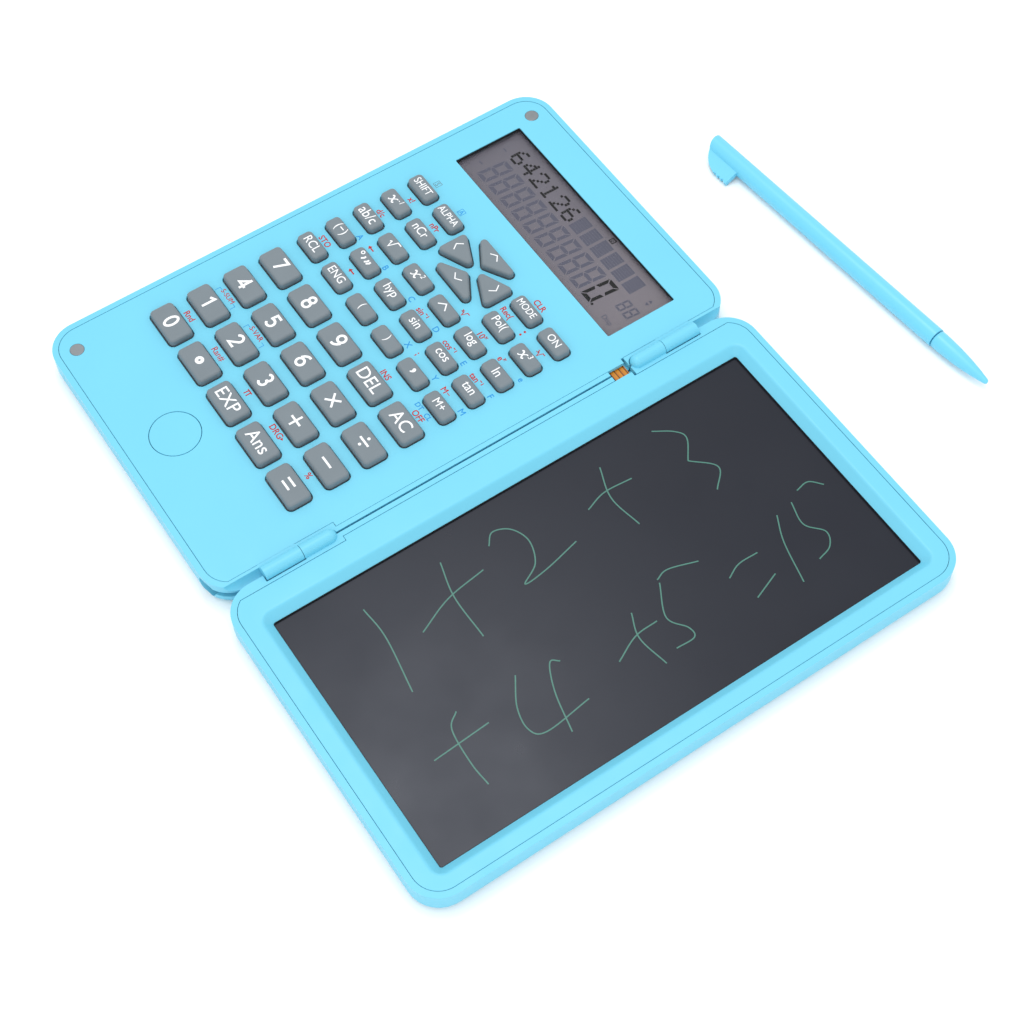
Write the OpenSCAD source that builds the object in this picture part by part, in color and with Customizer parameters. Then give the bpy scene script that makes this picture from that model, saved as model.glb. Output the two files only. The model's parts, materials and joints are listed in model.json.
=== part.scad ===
// Folding scientific calculator with an LCD writing tablet and a stylus.
// Two flat halves meet at a pair of pinned hinges and lie open, face up.
// Millimetres. Origin: centre of the calculator half's flat underside.
// +X along the hinge line, +Y away from the tablet half, +Z up.

/* [Body] */
// Length of each half along the hinge line
body_len = 164; // [160:1:168]
// Depth of each half, from its hinge edge to its far edge
half_depth = 98.4; // [98.4:0.1:101]
// Thickness of each half
half_thick = 8; // [8:0.1:9]
// Corner radius of each half, seen from above
corner_r = 9; // [8:0.5:10]
// Radius along the bottom edge of each half
foot_r = 2; // [1:0.5:2.2]
// Gap between the halves when they lie open
fold_gap = 0.6; // [0.4:0.1:1]
// Thickness of the floor of each half
floor_t = 1.2; // [1:0.1:1.2]
// Width of the rim that frames each face
rim_w = 1.8; // [1.5:0.1:2]

/* [Hinges] */
// Radius of the hinge knuckles
knuckle_r = 2.05; // [1.8:0.05:2.2]
// Radius of the hinge pins
pin_r = 0.75; // [0.6:0.05:0.9]
// Distance from the middle of the body to a hinge's outer end
hinge_out = 68.4; // [66:0.1:70]
// Length of the outer knuckle, on the calculator half
outer_knuckle = 11.2; // [10:0.1:12]
// Length of the inner knuckle with its domed end, on the tablet half
inner_knuckle = 10.4; // [9:0.1:11]
// Height of the hinge axis above the two faces
hinge_rise = 0.15; // [0.1:0.05:0.3]

/* [Face] */
// Thickness of the calculator's face plate
face_t = 1.2; // [1:0.1:1.2]
// Thickness of the tablet's bezel
bezel_t = 2.5; // [2:0.1:2.6]
// Width of the slope around the writing panel
bevel_w = 2.4; // [1:0.1:2.5]
// Writing opening, along the hinge line
write_len = 146.3; // [140:0.1:147]
// Writing opening, across
write_depth = 78.2; // [75:0.1:79]
// Display opening, along the hinge line
display_len = 22.4; // [20:0.1:24]
// Display opening, across
display_depth = 76.8; // [70:0.1:78]
// Radius of the erase button
erase_r = 7; // [6:0.1:7.5]

/* [Keys] */
// Height of the key tops above the face
key_rise = 2; // [1.2:0.1:2.2]
// How far a key travels when pressed
key_travel = 0.8; // [0.5:0.1:0.9]
// Gap between a key and its hole in the face
key_gap = 0.35; // [0.25:0.05:0.4]
// Large key, along the hinge line
large_len = 7.1; // [6.6:0.1:7.6]
// Large key, across
large_depth = 12.9; // [12:0.1:13.6]
// Small key, along the hinge line
small_len = 4.8; // [4.4:0.1:5.4]
// Small key, across
small_depth = 10; // [9.4:0.1:10.6]

/* [Stylus] */
// Radius of the stylus barrel
stylus_r = 2.8; // [2.5:0.05:2.8]
// Overall length of the stylus
stylus_len = 111.5; // [108:0.1:112]
// Length of the stylus tip
tip_len = 19.5; // [18:0.1:22]
// How far the thumb fin reaches from the barrel's axis
fin_reach = 7; // [6.5:0.1:7.2]
// Length of the thumb fin
fin_len = 13; // [12:0.5:15]

/* [Hidden] */
$fn = 64;
eps = 0.1;
fit = 0.1;
hinge_y = -(half_depth + fold_gap) / 2;
hinge_z = half_thick + hinge_rise;
calc_edge = -half_depth / 2;
tablet_y = hinge_y * 2;
tablet_edge = tablet_y + half_depth / 2;
face_z = half_thick - face_t;
bezel_z = half_thick - bezel_t;
wall_in = rim_w + 0.8;
hinge_wall = 4.2;
hinge_rim = 3.0;
centre_rim = 1.5;
hinge_zone = 45.7;
plate_r = corner_r - rim_w;
groove_r = knuckle_r + 0.3;
end_gap = 0.15;

board_z = 3.2;
board_t = 1;
board_top = board_z + board_t;
mat_top = board_top + 1.8;
key_foot = board_top + key_travel + 0.2;
key_top = half_thick + key_rise;
flange_w = 0.6;
flange_top = face_z - 0.1;
well_gap = 0.2;
key_corner = 1.3;
large_x0 = -49.9;
large_y0 = 32.9;
large_dx = 11.57;
large_dy = 15.93;
small_x0 = -3.9;
small_y0 = 34.2;
small_dx = 9.28;
small_dy = 13.26;
arrow_at = [29.4, 1.1];
arrow_wide = 7.5;
arrow_far_x = 8.5;
arrow_far_y = 12.3;
arrow_narrow = 4.5;
arrow_near = 2.4;
arrow_corner = 1.2;
arrow_flange = 0.4;

display_at = [58.5, 0.3];
window_t = 0.8;
window_lap = 1;
panel_lap = 1.4;
write_y = tablet_y - 2;
write_top = 5;
write_t = 1.2;
write_lap = 1.4;
erase_at = [-66.3, 1.0];
erase_gap = 0.15;
magnet_at = [75.3, 40.5];
magnet_r = 2;
// Magnets under the tablet's bezel, clear of its slope: place, then radius and thickness
hidden_magnet_at = [76.2, 40.5];
hidden_magnet = [1.5, 0.6];
screw_r = 1;
screw_head = [1.9, 0.8];
screw_sink = 1;
// Each entry: height where the case's post meets the plate's post, height of the screw's end
calc_stack = [5.2, 7.2];
tablet_stack = [3.6, 5.6];
calc_screws = [[-66, 43.8], [0, 43.8], [66, 43.8], [-74, -34], [36.5, -42.2], [76, -34]];
tablet_screws_at = [for (x = [-60, 0, 60], y = [-57.3, -143.4]) [x, y]];

tray_y = 21.6;
tray_depth = 31;
tray_in = 26;
tray_z = 2.1;
tray_h = 3.3;
tray_gap = 0.2;
tray_skin = 1.6;
cell_r = 10;
cell_t = 2.5;
cell_x = -body_len / 2 + 14;
tray_floor = 0.6;
contact_x = -55.2;

silo_y = calc_edge + fin_reach + 0.1;
silo_z = 3.7;
silo_r = stylus_r + 0.15;
silo_end = -body_len / 2 + stylus_len + 0.6;
silo_wall = 0.6;
fin_z = [-0.3, 1.4];

ribbon_x = 43.3;
ribbon_w = 4.6;
ribbon_z = 6.2;
ribbon_t = 0.3;
ribbon_reach = 9;
slot_w = 6.2;
slot_z = 5.9;

stylus_at = [116.34, 4.9];
stylus_turn = 4.8;
stylus_roll = asin((stylus_r + fin_z[0]) / fin_reach);
spigot_r = 1.6;
spigot_len = 4;
tip_nose_r = 0.85;
notch_r = 0.45;

large_names = [
    ["key_0", "key_point", "key_exp", "key_ans", "key_equals"],
    ["key_1", "key_2", "key_3", "key_plus", "key_minus"],
    ["key_4", "key_5", "key_6", "key_times", "key_divide"],
    ["key_7", "key_8", "key_9", "key_del", "key_ac"]
];
// Each entry: name, column, the two rows that share the node
small_pairs = [
    ["keys_recall_eng", 0, [0, 1]], ["keys_brackets", 0, [2, 3]], ["keys_comma_memory", 0, [4, 5]],
    ["keys_negative_degrees", 1, [0, 1]], ["keys_hyp_sin", 1, [2, 3]], ["keys_cos_tan", 1, [4, 5]],
    ["keys_fraction_root", 2, [0, 1]], ["keys_square_power", 2, [2, 3]], ["keys_log_ln", 2, [4, 5]],
    ["keys_inverse_choose", 3, [0, 1]], ["keys_polar_cube", 3, [4, 5]],
    ["keys_shift_alpha", 4, [0, 1]], ["keys_mode_on", 4, [4, 5]]
];
// Each entry: name, direction from the middle of the cross
arrow_names = [
    ["key_left", [0, 1]], ["key_right", [0, -1]], ["key_up", [1, 0]], ["key_down", [-1, 0]]
];

body_blue = [0.43, 0.86, 0.97];
key_grey = [0.5, 0.5, 0.52];

// ---- shared shapes ----

function large_at(c, r) = [large_x0 + c * large_dx, large_y0 - r * large_dy];
function small_at(c, r) = [small_x0 + c * small_dx, small_y0 - r * small_dy];
function unit(v) = v / norm(v);
function side_normal(a, b) = unit([b[1] - a[1], a[0] - b[0]]);

module rounded(size, r) {
    square([size[0] - 2 * r, size[1]], center = true);
    square([size[0], size[1] - 2 * r], center = true);
    for (sx = [-1, 1], sy = [-1, 1])
        translate([sx * (size[0] / 2 - r), sy * (size[1] / 2 - r)]) circle(r);
}

// A triangle with round corners; its points run anticlockwise.
// The corner circles stand out from the sides by a hair, so that each one crosses them cleanly.
module rounded_triangle(p, r) {
    polygon([for (i = [0 : 2], end = [0, 1])
        p[(i + end) % 3] + (r - 0.02) * side_normal(p[i], p[(i + 1) % 3])]);
    for (q = p) translate(q) circle(r);
}

module box(low, high) {
    translate(low) cube(high - low);
}

module along_x(x0, x1, y, z, r) {
    translate([x0, y, z]) rotate([0, 90, 0]) cylinder(r = r, h = x1 - x0);
}

// Cross-section of a half: square on top, rounded along the bottom
module foot_profile(w, r) {
    translate([-w / 2 + r, 0]) square([w - 2 * r, half_thick]);
    translate([-w / 2, r]) square([w, half_thick - r]);
    for (s = [-1, 1]) translate([s * (w / 2 - r), r]) circle(r);
}

// Solid blank of one half
module half_blank() {
    rotate([90, 0, 90]) linear_extrude(body_len - 2 * corner_r, center = true)
        foot_profile(half_depth, foot_r);
    rotate([90, 0, 0]) linear_extrude(half_depth - 2 * corner_r, center = true)
        foot_profile(body_len, foot_r);
    for (sx = [-1, 1], sy = [-1, 1])
        translate([sx * (body_len / 2 - corner_r), sy * (half_depth / 2 - corner_r), 0])
            rotate_extrude() intersection() {
                foot_profile(2 * corner_r, foot_r);
                square([corner_r, half_thick]);
            }
}

// Outline of the plate that drops into a half's rim; its hinge edge faces -Y
module plate_outline(grow) {
    difference() {
        rounded([body_len - 2 * rim_w + 2 * grow, half_depth - 2 * rim_w + 2 * grow], plate_r + grow);
        for (side = [0, 1]) mirror([side, 0]) translate([hinge_zone + grow, calc_edge])
            square([body_len, hinge_rim - grow]);
    }
    translate([-hinge_zone - grow, calc_edge + centre_rim - grow])
        square([2 * (hinge_zone + grow), hinge_rim]);
}

// Room inside a half, with a thick wall on its hinge side
module cavity(z0, z1) {
    translate([0, (hinge_wall - wall_in) / 2, z0]) linear_extrude(z1 - z0)
        rounded([body_len - 2 * wall_in, half_depth - wall_in - hinge_wall], corner_r - wall_in);
}

module screw_holes(places, stack) {
    for (p = places) translate([p[0], p[1], -eps]) {
        cylinder(r = screw_head[0] + 0.15, h = screw_sink + eps);
        cylinder(r = screw_r + 0.15, h = stack[0] + 2 * eps);
    }
}

module case_posts(places, stack) {
    for (p = places) translate([p[0], p[1], floor_t - eps])
        cylinder(r = 2, h = stack[0] - floor_t);
}

module plate_posts(places, stack, z) {
    for (p = places) translate([p[0], p[1], stack[0]]) cylinder(r = 1.9, h = z - stack[0] + eps);
}

module plate_post_holes(places, stack) {
    for (p = places) translate([p[0], p[1], stack[0] - eps])
        cylinder(r = screw_r + 0.02, h = stack[1] - stack[0] + 2 * eps);
}

module screws(places, stack) {
    for (p = places) translate([p[0], p[1], 0]) {
        translate([0, 0, screw_sink - screw_head[1]]) cylinder(r = screw_head[0], h = screw_head[1]);
        translate([0, 0, screw_sink - eps]) cylinder(r = screw_r, h = stack[1] - screw_sink + eps);
    }
}

// ---- hinge ----

seam_x = hinge_out - outer_knuckle;
dome_x = seam_x - inner_knuckle + knuckle_r;

// The knuckle on the calculator half, on the side s
module outer_barrel(s, r, extra) {
    x = [s * (hinge_out + extra), s * (seam_x + end_gap / 2 - extra)];
    along_x(min(x), max(x), hinge_y, hinge_z, r);
}

// Room for the outer knuckle on the side s, out through the half's corner
module outer_groove(s) {
    x = [s * (seam_x - 1), s * (hinge_out + 2 * corner_r)];
    along_x(min(x), max(x), hinge_y, hinge_z, groove_r);
}

// The domed knuckle on the tablet half, on the side s: one turned shape, from its dome to the seam
module inner_barrel(s, r, extra) {
    run = seam_x - end_gap / 2 + extra - dome_x;
    mirror([s < 0 ? 1 : 0, 0, 0]) translate([dome_x, hinge_y, hinge_z]) rotate([0, 90, 0]) rotate_extrude()
        polygon(concat([[0, run], [0, -r]], [for (a = [-80 : 10 : 0]) [r * cos(a), r * sin(a)]], [[r, run]]));
}

module pin_bores(r) {
    for (s = [-1, 1]) {
        x = [s * (hinge_out - 0.6), s * (dome_x - 0.2)];
        along_x(min(x), max(x), hinge_y, hinge_z, r);
    }
}

// ---- calculator half ----

module silo() {
    along_x(-body_len / 2 - 1, silo_end, silo_y, silo_z, silo_r);
    box([-body_len / 2 - 1, calc_edge - 1, silo_z + fin_z[0] - 0.15],
        [-body_len / 2 + fin_len + 0.3, silo_y, silo_z + fin_z[1] + 0.15]);
}

module tray_opening() {
    box([-body_len / 2 - 1, tray_y - tray_depth / 2 - tray_gap, tray_z - tray_gap],
        [-body_len / 2 + wall_in + 1, tray_y + tray_depth / 2 + tray_gap, tray_z + tray_h + tray_gap]);
}

module ribbon_slot(y0, y1) {
    box([ribbon_x - slot_w / 2, y0, slot_z], [ribbon_x + slot_w / 2, y1, half_thick + 1]);
}

module board_supports() {
    for (x = [-45, 0, 42, 68], y = [-36, 38]) translate([x, y, floor_t - eps])
        cylinder(r = 1.2, h = board_z - floor_t + eps);
}

module calculator_case() {
    color(body_blue) difference() {
        union() {
            difference() {
                half_blank();
                cavity(floor_t, half_thick + 1);
                translate([0, 0, face_z]) linear_extrude(face_t + 1) plate_outline(fit);
                for (s = [-1, 1]) inner_barrel(s, groove_r, 0);
                for (s = [-1, 1]) outer_groove(s);
            }
            intersection() {
                half_blank();
                box([-body_len / 2, calc_edge + hinge_wall - 0.5, 0.5],
                    [silo_end + 1.2, silo_y + silo_r + silo_wall, face_z]);
            }
            for (s = [-1, 1]) knuckle_root(s);
            for (s = [-1, 1]) outer_barrel(s, knuckle_r, 0);
            case_posts(calc_screws, calc_stack);
            board_supports();
        }
        silo();
        tray_opening();
        ribbon_slot(calc_edge - 1, calc_edge + hinge_wall + 1);
        pin_bores(pin_r + 0.01);
        screw_holes(calc_screws, calc_stack);
    }
}

// Fills the groove under an outer knuckle, out to its flat end
module knuckle_root(s) {
    x = [s * hinge_out, s * (seam_x + end_gap / 2)];
    box([min(x), calc_edge, slot_z - 0.6], [max(x), calc_edge + hinge_rim, half_thick]);
}

module calculator_face() {
    color(body_blue) difference() {
        union() {
            translate([0, 0, face_z]) linear_extrude(face_t) difference() {
                plate_outline(0);
                key_outlines(key_gap);
                translate(display_at) square([display_len, display_depth], center = true);
                translate(erase_at) circle(erase_r + erase_gap);
                for (s = [-1, 1]) translate([s * magnet_at[0], magnet_at[1]]) circle(magnet_r + 0.02);
            }
            plate_posts(calc_screws, calc_stack, face_z);
        }
        plate_post_holes(calc_screws, calc_stack);
    }
}

module key_outlines(grow) {
    for (c = [0 : 3], r = [0 : 4]) translate(large_at(c, r))
        rounded([large_len + 2 * grow, large_depth + 2 * grow], key_corner + grow);
    for (pair = small_pairs, r = pair[2]) translate(small_at(pair[1], r))
        rounded([small_len + 2 * grow, small_depth + 2 * grow], key_corner + grow);
    for (arrow = arrow_names) arrow_outline(arrow[1], grow);
}

// One arrow key: its base faces outward along d, its narrow end the middle
module arrow_outline(d, grow) {
    far = (d[0] == 0 ? arrow_far_y : arrow_far_x) - arrow_corner;
    half = (d[0] == 0 ? arrow_narrow : arrow_wide) - arrow_corner;
    across = [-d[1], d[0]];
    translate(arrow_at)
        rounded_triangle([far * d - half * across, far * d + half * across,
                          (arrow_near + arrow_corner) * d], arrow_corner + grow);
}

module keypad_mat() {
    color("dimgray") translate([0, 0, board_top]) linear_extrude(mat_top - board_top) difference() {
        translate([-7.1, 1.6]) square([95.6, 79.8], center = true);
        key_outlines(flange_w + well_gap);
        translate(arrow_at) square([8, 12], center = true);
    }
}

module key_body(size) {
    translate([0, 0, key_foot]) linear_extrude(flange_top - key_foot)
        rounded(size + 2 * [flange_w, flange_w], key_corner + flange_w);
    translate([0, 0, key_foot]) linear_extrude(key_top - key_foot) rounded(size, key_corner);
}

module large_key(c, r) {
    color(key_grey) translate(large_at(c, r)) key_body([large_len, large_depth]);
}

module small_keys(pair) {
    color(key_grey) for (r = pair[2])
        translate(small_at(pair[1], r)) key_body([small_len, small_depth]);
}

module arrow_key(d) {
    color(key_grey) {
        translate([0, 0, key_foot]) linear_extrude(flange_top - key_foot) arrow_outline(d, arrow_flange);
        translate([0, 0, key_foot]) linear_extrude(key_top - key_foot) arrow_outline(d, 0);
    }
}

module main_board() {
    color("darkgreen") translate([0, 0, board_z]) linear_extrude(board_t) {
        translate([8.35, 1.55]) square([128.3, 79.7], center = true);
        translate(erase_at + [6, 0]) square([26, 12], center = true);
        translate([ribbon_x, -40]) square([9, 6], center = true);
    }
}

module controller_chips() {
    color("black") {
        translate([10, -10, board_z - 1.2]) cylinder(r = 5, h = 1.2);
        translate([58, 20, board_z - 1.4]) linear_extrude(1.4) square([8, 12], center = true);
    }
}

module display_panel() {
    color([0.5, 0.47, 0.5]) translate([display_at[0], display_at[1], board_top])
        linear_extrude(face_z - window_t - board_top)
            square([display_len + 2 * panel_lap, display_depth + 2 * panel_lap], center = true);
}

module display_window() {
    color([0.8, 0.85, 0.9, 0.4]) translate([display_at[0], display_at[1], face_z - window_t])
        linear_extrude(window_t)
            square([display_len + 2 * window_lap, display_depth + 2 * window_lap], center = true);
}

module erase_button() {
    color(body_blue) translate([erase_at[0], erase_at[1], 0]) {
        translate([0, 0, face_z - 1]) cylinder(r = erase_r, h = face_t + 1);
        translate([0, 0, face_z - 1]) cylinder(r = erase_r + 0.9, h = 0.9);
        translate([0, 0, face_z - 1.4]) cylinder(r = 1.5, h = 1);
    }
}

module erase_switch() {
    color("silver") translate([erase_at[0], erase_at[1], board_top]) {
        linear_extrude(0.3) square([6, 6], center = true);
        cylinder(r = 1.4, h = 0.5);
    }
}

module battery_tray() {
    x0 = -body_len / 2;
    color(body_blue) {
        box([x0, tray_y - tray_depth / 2, tray_z],
            [x0 + tray_skin, tray_y + tray_depth / 2, tray_z + tray_h]);
        difference() {
            box([x0, tray_y - cell_r - 2, tray_z], [x0 + tray_in, tray_y + cell_r + 2, tray_z + tray_h]);
            translate([cell_x, tray_y, tray_z + tray_floor]) cylinder(r = cell_r + 0.2, h = tray_h);
        }
    }
}

module coin_cell() {
    color("silver") translate([cell_x, tray_y, tray_z + tray_floor]) {
        cylinder(r = cell_r, h = cell_t - 0.4);
        cylinder(r = cell_r - 1.4, h = cell_t);
    }
}

module battery_contacts() {
    lift = tray_z + tray_h + 0.3;
    color("gold") for (y = [-4, 4]) {
        box([cell_x, tray_y + y - 1, lift], [contact_x, tray_y + y + 1, lift + 0.25]);
        box([contact_x - 0.4, tray_y + y - 1, board_top], [contact_x, tray_y + y + 1, lift + 0.25]);
    }
}

module face_magnets() {
    color("gray") for (s = [-1, 1])
        translate([s * magnet_at[0], magnet_at[1], face_z]) cylinder(r = magnet_r, h = face_t);
}

module hinge_pins() {
    color("silver") intersection() {
        pin_bores(pin_r);
        box([-hinge_out + 0.7, hinge_y - 1, hinge_z - 1], [hinge_out - 0.7, hinge_y + 1, hinge_z + 1]);
    }
}

module flex_ribbon() {
    color("peru") box([ribbon_x - ribbon_w / 2, hinge_y - ribbon_reach, ribbon_z],
                      [ribbon_x + ribbon_w / 2, hinge_y + ribbon_reach, ribbon_z + ribbon_t]);
}

module calculator_screws() {
    color("silver") screws(calc_screws, calc_stack);
}

// ---- tablet half ----

// Turns a shape made beside the hinge edge at -Y so that its hinge edge faces +Y
module on_tablet() {
    translate([0, tablet_y, 0]) mirror([0, 1, 0]) children();
}

module panel_ribs() {
    for (x = [-54, -18, 18, 54])
        box([x - 0.6, write_y - 34, floor_t - eps], [x + 0.6, write_y + 34, write_top - write_t]);
}

module tablet_back() {
    color(body_blue) difference() {
        union() {
            difference() {
                translate([0, tablet_y, 0]) half_blank();
                on_tablet() cavity(floor_t, half_thick + 1);
                on_tablet() translate([0, 0, bezel_z]) linear_extrude(bezel_t + 1) plate_outline(fit);
                for (s = [-1, 1]) outer_barrel(s, groove_r, end_gap * 2);
            }
            for (s = [-1, 1]) inner_barrel(s, knuckle_r, 0);
            case_posts(tablet_screws_at, tablet_stack);
            panel_ribs();
        }
        ribbon_slot(tablet_edge - hinge_wall - 1, tablet_edge + 1);
        pin_bores(pin_r + 0.05);
        screw_holes(tablet_screws_at, tablet_stack);
    }
}

// The sloped writing opening: two wide troughs that cross
module bevel_cut() {
    translate([0, write_y, bezel_z]) intersection() {
        rotate([90, 0, 90]) linear_extrude(body_len, center = true) slope_profile(write_depth);
        rotate([90, 0, 0]) linear_extrude(half_depth, center = true) slope_profile(write_len);
    }
}

// Straight-sided below, then sloping out to the face
module slope_profile(w) {
    top = w / 2 + bevel_w;
    polygon([[-w / 2, -1], [w / 2, -1], [w / 2, 0], [top, bezel_t], [top, bezel_t + 1],
             [-top, bezel_t + 1], [-top, bezel_t], [-w / 2, 0]]);
}

module tablet_bezel() {
    color(body_blue) difference() {
        union() {
            on_tablet() translate([0, 0, bezel_z]) linear_extrude(bezel_t) plate_outline(0);
            plate_posts(tablet_screws_at, tablet_stack, bezel_z);
        }
        bevel_cut();
        plate_post_holes(tablet_screws_at, tablet_stack);
        on_tablet() for (s = [-1, 1]) translate([s * hidden_magnet_at[0], hidden_magnet_at[1], bezel_z - eps])
            cylinder(r = hidden_magnet[0] + 0.05, h = hidden_magnet[1] + 0.1 + eps);
        box([ribbon_x - slot_w / 2, hinge_y - ribbon_reach - 1, bezel_z - eps],
            [ribbon_x + slot_w / 2, hinge_y - centre_rim + 1, ribbon_z + ribbon_t + 0.2]);
    }
}

module writing_panel() {
    color([0.29, 0.31, 0.34]) translate([0, write_y, write_top - write_t]) linear_extrude(write_t)
        square([write_len + 2 * write_lap, write_depth + 2 * write_lap], center = true);
}

module tablet_magnets() {
    color("gray") on_tablet() for (s = [-1, 1])
        translate([s * hidden_magnet_at[0], hidden_magnet_at[1], bezel_z])
            cylinder(r = hidden_magnet[0], h = hidden_magnet[1]);
}

module tablet_screws() {
    color("silver") screws(tablet_screws_at, tablet_stack);
}

// ---- stylus ----

// Lays the stylus on the table: built along -Y with its head at the origin and its fin at -X
module laid_stylus() {
    translate([stylus_at[0], stylus_at[1], stylus_r]) rotate([0, 0, stylus_turn])
        rotate([0, -stylus_roll, 0]) children();
}

// The head's outline: the case's corner arc, then the fin's straight edge with grip notches
module head_outline() {
    difference() {
        union() {
            translate([corner_r - fin_reach, -corner_r]) circle(corner_r);
            translate([-fin_reach, -fin_len]) square([2 * fin_reach, fin_len - corner_r]);
        }
        for (i = [0 : 2]) translate([-fin_reach, -fin_len + 1.6 + i * 1.6]) circle(notch_r);
    }
}

module stylus_barrel() {
    barrel_len = stylus_len - tip_len;
    color(body_blue) laid_stylus() difference() {
        union() {
            translate([0, -fin_len, 0]) rotate([90, 0, 0]) cylinder(r = stylus_r, h = barrel_len - fin_len);
            intersection() {
                union() {
                    rotate([90, 0, 0]) cylinder(r = stylus_r, h = fin_len + eps);
                    box([-fin_reach - 1, -fin_len, fin_z[0]], [0, 0, fin_z[1]]);
                }
                translate([0, 0, -stylus_r - 1]) linear_extrude(2 * stylus_r + 2) union() {
                    head_outline();
                    translate([-stylus_r, -fin_len - 1]) square([2 * stylus_r, 2]);
                }
            }
        }
        translate([0, -barrel_len - eps, 0]) rotate([-90, 0, 0])
            cylinder(r = spigot_r + 0.02, h = spigot_len + 0.3);
    }
}

// Half-section of the tip from its shoulder to its nose: a bullet curve, then a fine nose
function tip_radius(t) = tip_nose_r + (stylus_r - 0.15 - tip_nose_r) * pow(cos(90 * min(1, t)), 0.8);

module stylus_tip() {
    steps = 16;
    body = tip_len - 3;
    barrel_len = stylus_len - tip_len;
    color(body_blue) laid_stylus() translate([0, -barrel_len, 0]) rotate([90, 0, 0]) rotate_extrude()
        polygon(concat(
            [[0, -spigot_len], [spigot_r, -spigot_len], [spigot_r, 0.3], [stylus_r - 0.35, 0.3]],
            [for (i = [0 : steps]) [tip_radius(i / steps * 0.94), 0.7 + body * i / steps]],
            [for (a = [0 : 30 : 90]) [tip_nose_r * cos(a), tip_len - tip_nose_r + tip_nose_r * sin(a)]]));
}

// ---- parts ----

calculator_case();
calculator_face();
keypad_mat();
main_board();
controller_chips();
display_panel();
display_window();
erase_button();
erase_switch();
battery_tray();
coin_cell();
battery_contacts();
face_magnets();
hinge_pins();
flex_ribbon();
calculator_screws();
tablet_back();
tablet_bezel();
writing_panel();
tablet_magnets();
tablet_screws();
stylus_barrel();
stylus_tip();
for (c = [0 : 3], r = [0 : 4]) large_key(c, r);
for (pair = small_pairs) small_keys(pair);
for (arrow = arrow_names) arrow_key(arrow[1]);
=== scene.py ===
"""Folding scientific calculator, open next to its stylus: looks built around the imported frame.

Lengths are millimetres, which become metres when a mesh is saved. The floor, lights and camera at the end
are placed in metres.
"""

import json
import math

import bmesh
import bpy
from mathutils import Matrix, Vector


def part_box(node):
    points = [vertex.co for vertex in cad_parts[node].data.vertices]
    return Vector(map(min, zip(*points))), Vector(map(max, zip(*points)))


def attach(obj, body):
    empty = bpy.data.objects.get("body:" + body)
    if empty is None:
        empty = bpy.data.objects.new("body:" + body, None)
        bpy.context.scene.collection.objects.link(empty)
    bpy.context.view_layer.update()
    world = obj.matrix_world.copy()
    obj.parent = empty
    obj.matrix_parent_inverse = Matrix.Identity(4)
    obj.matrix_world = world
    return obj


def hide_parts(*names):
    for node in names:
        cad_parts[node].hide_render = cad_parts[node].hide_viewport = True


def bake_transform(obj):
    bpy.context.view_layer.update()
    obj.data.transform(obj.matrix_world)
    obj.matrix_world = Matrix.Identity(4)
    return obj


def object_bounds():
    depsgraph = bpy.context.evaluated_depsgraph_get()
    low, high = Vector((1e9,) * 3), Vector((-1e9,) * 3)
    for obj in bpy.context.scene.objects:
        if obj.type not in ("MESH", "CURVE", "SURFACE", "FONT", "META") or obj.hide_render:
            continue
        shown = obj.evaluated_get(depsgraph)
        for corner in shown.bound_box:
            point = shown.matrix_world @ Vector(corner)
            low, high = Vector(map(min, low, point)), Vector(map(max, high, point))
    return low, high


MM = 0.001
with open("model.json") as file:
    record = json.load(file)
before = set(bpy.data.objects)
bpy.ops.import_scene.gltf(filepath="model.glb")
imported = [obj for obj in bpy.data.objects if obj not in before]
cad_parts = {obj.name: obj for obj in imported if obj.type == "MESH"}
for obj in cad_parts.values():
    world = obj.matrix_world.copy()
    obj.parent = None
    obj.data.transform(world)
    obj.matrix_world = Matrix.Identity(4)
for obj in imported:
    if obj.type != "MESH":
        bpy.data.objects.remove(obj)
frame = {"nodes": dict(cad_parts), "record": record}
cad_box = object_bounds()
nodes = frame["nodes"]
scene = bpy.context.scene


def span(node):
    """A CAD node's (low, high) corners at rest, in millimetres."""
    low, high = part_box(node)
    return low / MM, high / MM


def middle(node):
    low, high = span(node)
    return (low + high) / 2


# ---------------------------------------------------------------- materials


def linear(rgb):
    """sRGB 0-255 to linear 0-1."""
    return [c / 12.92 if c <= 0.04045 else ((c + 0.055) / 1.055) ** 2.4 for c in [v / 255 for v in rgb]]


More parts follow.
